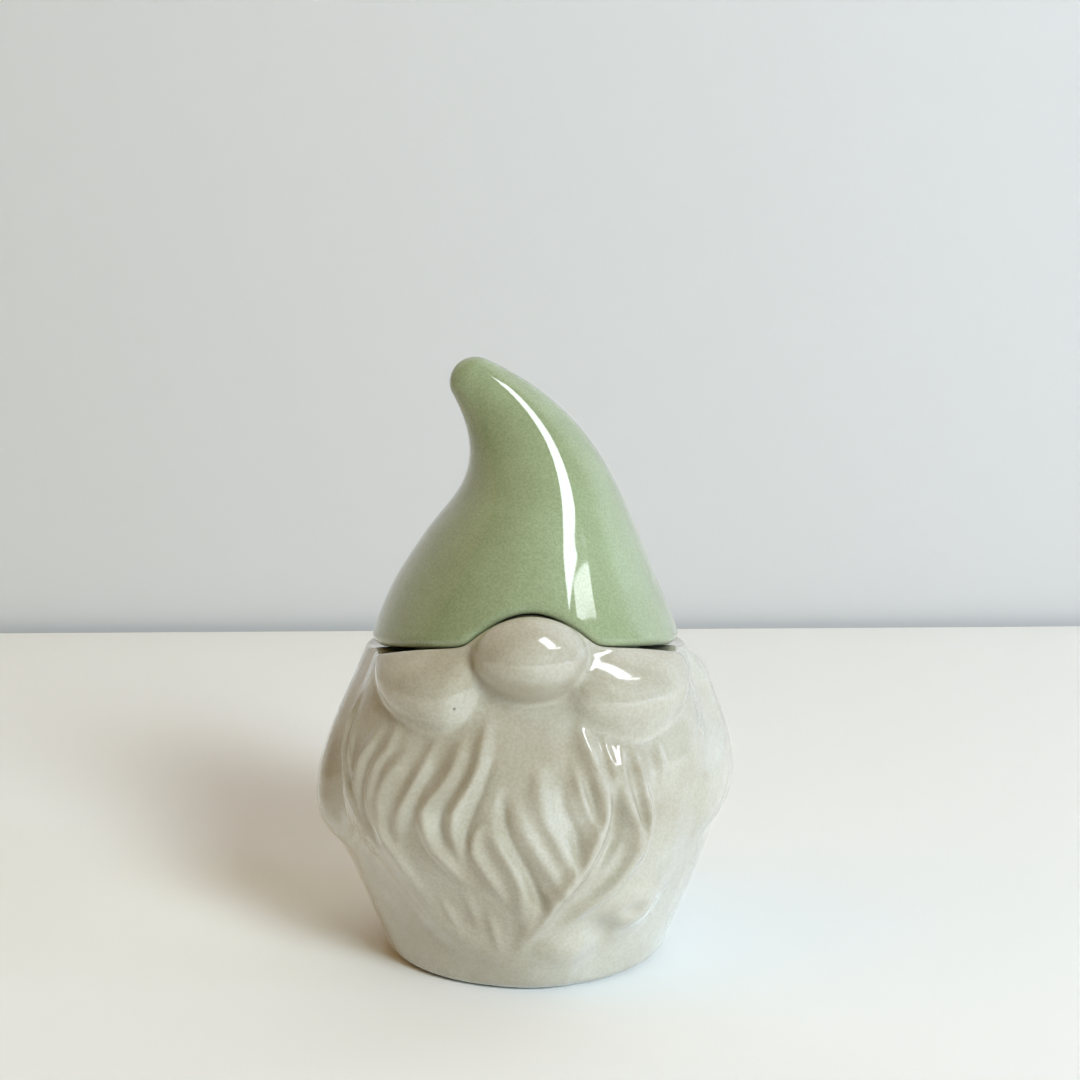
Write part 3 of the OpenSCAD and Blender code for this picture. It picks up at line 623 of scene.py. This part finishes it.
def glossCasting(name, look):  # the mix in the colours of one casting, under a clear coat
    material = bpy.data.materials.new(name)
    material.use_nodes = True
    nodes, links = material.node_tree.nodes, material.node_tree.links
    nodes.clear()
    place = nodes.new("ShaderNodeTexCoord")
    mix = nodes.new("ShaderNodeGroup")
    mix.node_tree = castMix
    links.new(place.outputs["Object"], mix.inputs["Place"])
    for label in castInputs:
        mix.inputs[label].default_value = look[label]
    # Cloudy body colour, then the grains, then the painted shade in the pinholes
    clouds = nodes.new("ShaderNodeValToRGB")
    deepStop, middleStop, lightStop = glossSet["cloudStops"]
    clouds.color_ramp.elements[0].position = deepStop
    clouds.color_ramp.elements[0].color = look["deep"]
    clouds.color_ramp.elements[1].position = lightStop
    clouds.color_ramp.elements[1].color = look["light"]
    middle = clouds.color_ramp.elements.new(middleStop)
    middle.color = look["middle"]
    links.new(mix.outputs["Cloud"], clouds.inputs["Fac"])
    grains = nodes.new("ShaderNodeValToRGB")
    grains.color_ramp.elements[0].position = glossSet["grainStops"][0]
    grains.color_ramp.elements[0].color = look["grainDark"]
    grains.color_ramp.elements[1].position = glossSet["grainStops"][1]
    grains.color_ramp.elements[1].color = look["grainLight"]
    links.new(mix.outputs["Grain"], grains.inputs["Fac"])
    speckled = nodes.new("ShaderNodeMix")
    speckled.data_type = "RGBA"
    speckled.blend_type = "MULTIPLY"
    speckled.inputs["Factor"].default_value = 1
    links.new(clouds.outputs["Color"], speckled.inputs["A"])
    links.new(grains.outputs["Color"], speckled.inputs["B"])
    # Painted shade: the pinholes take a darker colour that stands in for the shade inside them; their dip
    # in the bump is real
    shadedPinholes = nodes.new("ShaderNodeMix")
    shadedPinholes.data_type = "RGBA"
    shadedPinholes.inputs["B"].default_value = look["pinholeShade"]
    links.new(mix.outputs["Pinhole"], shadedPinholes.inputs["Factor"])
    links.new(speckled.outputs["Result"], shadedPinholes.inputs["A"])
    rough = nodes.new("ShaderNodeMapRange")
    rough.inputs["To Min"].default_value = look["roughness"] * (1 - glossSet["roughSpread"])
    rough.inputs["To Max"].default_value = look["roughness"] * (1 + glossSet["roughSpread"])
    links.new(mix.outputs["Cloud"], rough.inputs["Value"])
    bump = nodes.new("ShaderNodeBump")
    bump.inputs["Strength"].default_value = look["bump"]
    bump.inputs["Distance"].default_value = glossSet["bumpDistance"]
    links.new(mix.outputs["Height"], bump.inputs["Height"])
    shader = nodes.new("ShaderNodeBsdfPrincipled")
    shader.inputs["IOR"].default_value = glossSet["ior"]
    shader.inputs["Coat Weight"].default_value = look["coat"]
    shader.inputs["Coat Roughness"].default_value = look["coatRough"]
    links.new(shadedPinholes.outputs["Result"], shader.inputs["Base Color"])
    links.new(rough.outputs["Result"], shader.inputs["Roughness"])
    links.new(bump.outputs["Normal"], shader.inputs["Normal"])
    output = nodes.new("ShaderNodeOutputMaterial")
    links.new(shader.outputs["BSDF"], output.inputs["Surface"])
    return material


greyLook = {
    "deep": srgb(174, 166, 146), "middle": srgb(185, 179, 161), "light": srgb(197, 193, 178),
    # The pinhole colour is painted shade inside the pinholes
    "grainDark": srgb(244, 242, 238), "grainLight": srgb(255, 255, 255), "pinholeShade": srgb(120, 114, 100),
    "CloudScale": 45, "GrainScale": 1700, "PinholeScale": 140, "PinholeShare": 0.07,
    "roughness": 0.13, "bump": 0.05, "coat": 1, "coatRough": 0.09,
}
sageLook = {
    "deep": srgb(144, 152, 117), "middle": srgb(151, 160, 124), "light": srgb(158, 169, 134),
    # The pinhole colour is painted shade inside the pinholes
    "grainDark": srgb(231, 236, 227), "grainLight": srgb(255, 255, 255), "pinholeShade": srgb(96, 108, 84),
    "CloudScale": 40, "GrainScale": 2400, "PinholeScale": 140, "PinholeShare": 0.05,
    "roughness": 0.05, "bump": 0.04, "coat": 0.4, "coatRough": 0.03,
}
jar.data.materials.append(glossCasting("greyGloss", greyLook))
hat.data.materials.append(glossCasting("sageGloss", sageLook))
print("castings finished")

# Stage: a pale table top that ends at a pale wall
stageSet = {
    "tableBack": 0.337, "tableFront": -1.6, "half": 2.2, "gap": 0.006, "wallFoot": -0.05, "wallTop": 2.2,
    "table": srgb(248, 251, 251), "wall": srgb(205, 202, 197), "roughness": 0.6,
}


def flatSheet(name, corners, colour, oneSided):  # one painted rectangle of the room
    mesh = bpy.data.meshes.new(name)
    mesh.from_pydata(corners, [], [(0, 1, 2, 3)])
    sheet = bpy.data.objects.new(name, mesh)
    bpy.context.scene.collection.objects.link(sheet)
    material = bpy.data.materials.new(name + "Paint")
    material.use_nodes = True
    nodes, links = material.node_tree.nodes, material.node_tree.links
    shader = nodes["Principled BSDF"]
    shader.inputs["Base Color"].default_value = colour
    shader.inputs["Roughness"].default_value = stageSet["roughness"]
    if oneSided:  # seen from behind, the wall lets the view through
        clear = nodes.new("ShaderNodeBsdfTransparent")
        side = nodes.new("ShaderNodeMixShader")
        geometry = nodes.new("ShaderNodeNewGeometry")
        links.new(geometry.outputs["Backfacing"], side.inputs["Fac"])
        links.new(shader.outputs["BSDF"], side.inputs[1])
        links.new(clear.outputs["BSDF"], side.inputs[2])
        links.new(side.outputs["Shader"], nodes["Material Output"].inputs["Surface"])
    mesh.materials.append(material)


half, back = stageSet["half"], stageSet["tableBack"]
front, wallY = stageSet["tableFront"], stageSet["tableBack"] + stageSet["gap"]
foot, top = stageSet["wallFoot"], stageSet["wallTop"]
tableCorners = [(-half, front, 0), (half, front, 0), (half, back, 0), (-half, back, 0)]
wallCorners = [(-half, wallY, foot), (half, wallY, foot), (half, wallY, top), (-half, wallY, top)]
flatSheet("tableTop", tableCorners, stageSet["table"], False)
flatSheet("backWall", wallCorners, stageSet["wall"], True)
print("stage laid")

# Light: soft lamps in front and at the right, warm room light, and the window panes that show in the gloss
lamps = {
    "nearKey": {"towards": (0.454, -0.727, 0.515), "far": 1.2, "wide": 0.36, "tall": 0.36, "watts": 7.4,
                "colour": (0.93, 1, 1.11)},
    "farKey": {"towards": (0.425, -0.8, 0.423), "far": 3, "wide": 0.8, "tall": 0.8, "watts": 42.5,
               "colour": (0.83, 1, 1.03)},
    "rightLow": {"towards": (0.965, -0.255, 0.05), "far": 1.2, "wide": 0.36, "tall": 0.36, "watts": 6.1,
                 "colour": (0.8, 1, 1.43)},
    "ceiling": {"towards": (0, -0.05, 1), "far": 2.2, "wide": 3, "tall": 3, "watts": 7,
                "colour": (1.67, 1, 0.02)},
    "leftRoom": {"towards": (-0.65, -0.15, 0.65), "far": 3, "wide": 2, "tall": 1.6, "watts": 11.5,
                 "colour": (1, 0.44, 0.02)},
    "leftLow": {"towards": (-0.9, -0.35, 0.15), "far": 3, "wide": 2.5, "tall": 0.8, "watts": 4.5,
                "colour": (0.9, 1, 0.8)},
}
# The panes are seen only in the gloss; aside and lift shift them in their own plane
panes = {
    "tallPane": {"towards": (0.577, -0.462, 0.672), "far": 3, "wide": 0.78, "tall": 1.65, "watts": 46,
                 "colour": (0.95, 1, 1.1), "aside": 0.39, "lift": 1.175},
    "lowPane": {"towards": (0.577, -0.462, 0.672), "far": 3, "wide": 0.9, "tall": 0.17, "watts": 3.6,
                "colour": (0.95, 1, 1.05), "aside": 0.72, "lift": 0.16, "roll": -13},
}
lampAim = (0.008, -0.02, 0.07)


def placeLamp(name, lamp, mirrored):  # an area that faces the aim from its own direction
    towards = np.array(lamp["towards"]) / np.linalg.norm(lamp["towards"])
    across = np.cross([0, 0, 1], towards)
    across = across / np.linalg.norm(across)
    up = np.cross(towards, across)
    data = bpy.data.lights.new(name, "AREA")
    data.shape = "RECTANGLE"
    data.size, data.size_y = lamp["wide"], lamp["tall"]
    data.energy = lamp["watts"]
    data.color = lamp["colour"]
    lampObject = bpy.data.objects.new(name, data)
    lampObject.visible_glossy = mirrored
    lampObject.visible_diffuse = not mirrored
    bpy.context.scene.collection.objects.link(lampObject)
    shift = lamp.get("aside", 0) * across + lamp.get("lift", 0) * up
    roll = lamp.get("roll", 0)
    turn = np.identity(4)
    turn[:3, 0] = cosd(roll) * across + sind(roll) * up
    turn[:3, 1] = cosd(roll) * up - sind(roll) * across
    turn[:3, 2] = towards
    turn[:3, 3] = np.array(lampAim) + lamp["far"] * towards + shift
    lampObject.matrix_world = turn.T


for name, lamp in lamps.items():
    placeLamp(name, lamp, False)
for name, lamp in panes.items():
    placeLamp(name, lamp, True)
print("lamps placed:", len(lamps) + len(panes))

# The room gives almost no light of its own, and looks pale only where a camera sees past the wall
world = bpy.data.worlds.new("paleRoom")
bpy.context.scene.world = world
world.use_nodes = True
worldLook = {"colour": (0.9, 0.9, 0.89, 1), "light": 0.01, "seen": 0.65}
background = world.node_tree.nodes["Background"]
background.inputs["Color"].default_value = worldLook["colour"]
rays = world.node_tree.nodes.new("ShaderNodeLightPath")
strength = world.node_tree.nodes.new("ShaderNodeMapRange")
strength.inputs["To Min"].default_value = worldLook["light"]
strength.inputs["To Max"].default_value = worldLook["seen"]
world.node_tree.links.new(rays.outputs["Is Camera Ray"], strength.inputs["Value"])
world.node_tree.links.new(strength.outputs["Result"], background.inputs["Strength"])

# Camera: a little above the jar and a little to its right side
viewSet = {
    "lens": 66.67, "sensor": 36, "nearest": 0.01,
    "place": (-0.0108, -0.3928, 0.1376), "down": 8.1, "turn": -2.0,
}
cameraData = bpy.data.cameras.new("photoCamera")
cameraData.lens = viewSet["lens"]
cameraData.sensor_width = viewSet["sensor"]
cameraData.clip_start = viewSet["nearest"]
camera = bpy.data.objects.new("photoCamera", cameraData)
camera.location = viewSet["place"]
camera.rotation_euler = (math.radians(90 - viewSet["down"]), 0, math.radians(viewSet["turn"]))
bpy.context.scene.collection.objects.link(camera)
bpy.context.scene.camera = camera
bpy.context.scene.view_settings.view_transform = "Standard"

print("scene ready")
